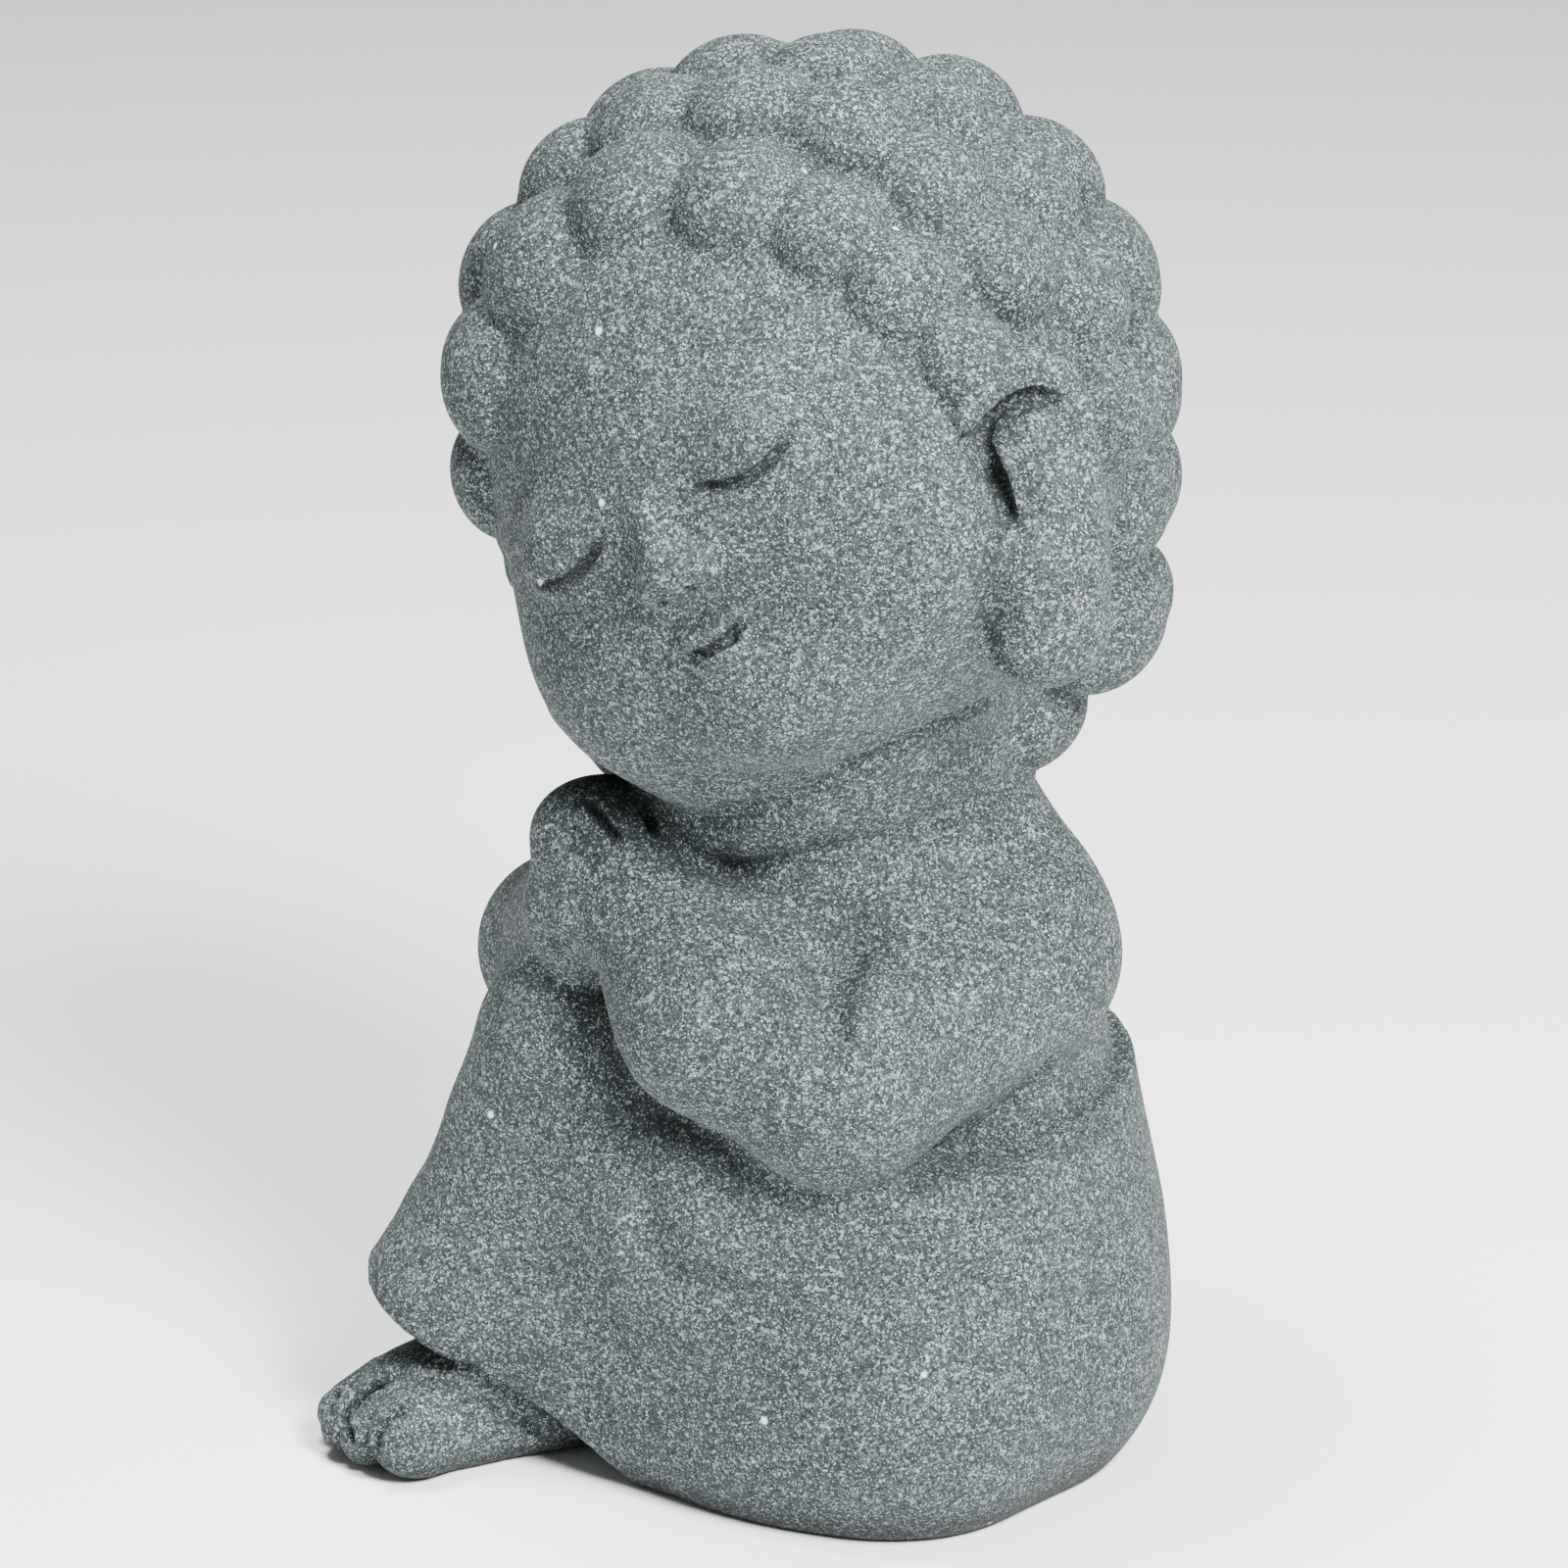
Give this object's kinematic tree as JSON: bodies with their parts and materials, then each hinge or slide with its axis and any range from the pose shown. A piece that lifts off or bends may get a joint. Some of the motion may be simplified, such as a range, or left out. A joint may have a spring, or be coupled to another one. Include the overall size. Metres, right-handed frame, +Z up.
{
  "type": "seated monk figurine",
  "caption": "Small stone figurine of a seated sleeping baby monk, cheek tilted over clasped hands on a raised knee, curled hair, draped robe, flat base.",
  "frame": {"origin": "on the flat underside, below the figure's trunk", "axes": "+Z up through the crown of the head, -Y the way the figure faces, +X towards the figure's left side"},
  "size_m": [0.0639, 0.0634, 0.1154],
  "materials": {
    "sandstone": "matt fine-grained grey-green sandstone, speckled light and dark"
  },
  "bodies": {
    "root": {"seated_monk": "sandstone"}
  },
  "joints": []
}
